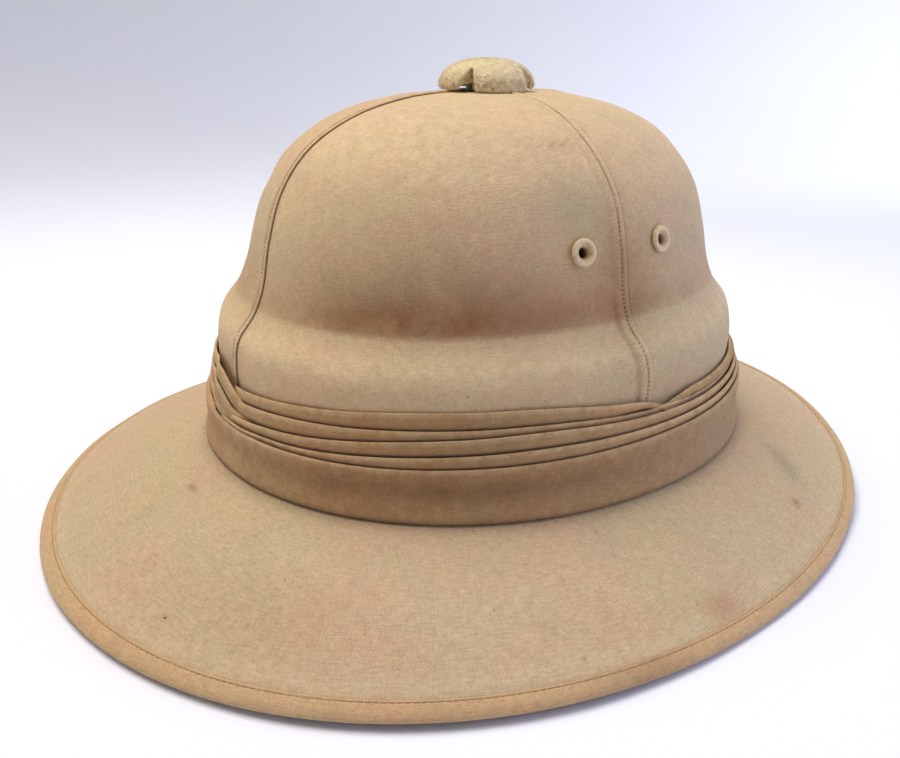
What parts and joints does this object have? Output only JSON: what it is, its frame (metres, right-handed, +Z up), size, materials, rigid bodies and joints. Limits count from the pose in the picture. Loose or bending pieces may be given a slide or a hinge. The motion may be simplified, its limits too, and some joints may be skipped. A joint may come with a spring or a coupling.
{
  "type": "pith helmet",
  "caption": "Cloth-covered pith sun helmet with a seamed crown, pleated puggaree, drooping bound brim, side eyelets and a felt-covered top vent cap.",
  "frame": {"origin": "bottom centre of the bounding box, on the surface that the brim rests on", "axes": "+Z up through the crown, -Y towards the front of the hat, -X towards the wearer's right"},
  "size_m": [0.3086, 0.356, 0.1722],
  "materials": {
    "pith": "plain matt pith, sized",
    "drill_cloth": "worn khaki cotton drill",
    "puggaree_cloth": "khaki cotton, wound and pleated",
    "binding_cloth": "khaki cotton, folded and stitched",
    "eyelet": "satin cream enamel",
    "collar_metal": "dull",
    "cap_felt": "soft cream felt"
  },
  "bodies": {
    "root": {"shell": "pith", "crown_panel_back_right": "drill_cloth", "crown_panel_front_right": "drill_cloth", "crown_panel_front_left": "drill_cloth", "crown_panel_back_left": "drill_cloth", "brim_cover": "drill_cloth", "edge_binding": "binding_cloth", "puggaree_band": "puggaree_cloth", "puggaree_fold_4": "puggaree_cloth", "puggaree_fold_3": "puggaree_cloth", "puggaree_fold_2": "puggaree_cloth", "puggaree_fold_1": "puggaree_cloth", "eyelet_right_back": "eyelet", "eyelet_right_front": "eyelet", "eyelet_left_back": "eyelet", "eyelet_left_front": "eyelet", "vent_collar": "collar_metal", "vent_cap": "cap_felt"}
  },
  "joints": []
}
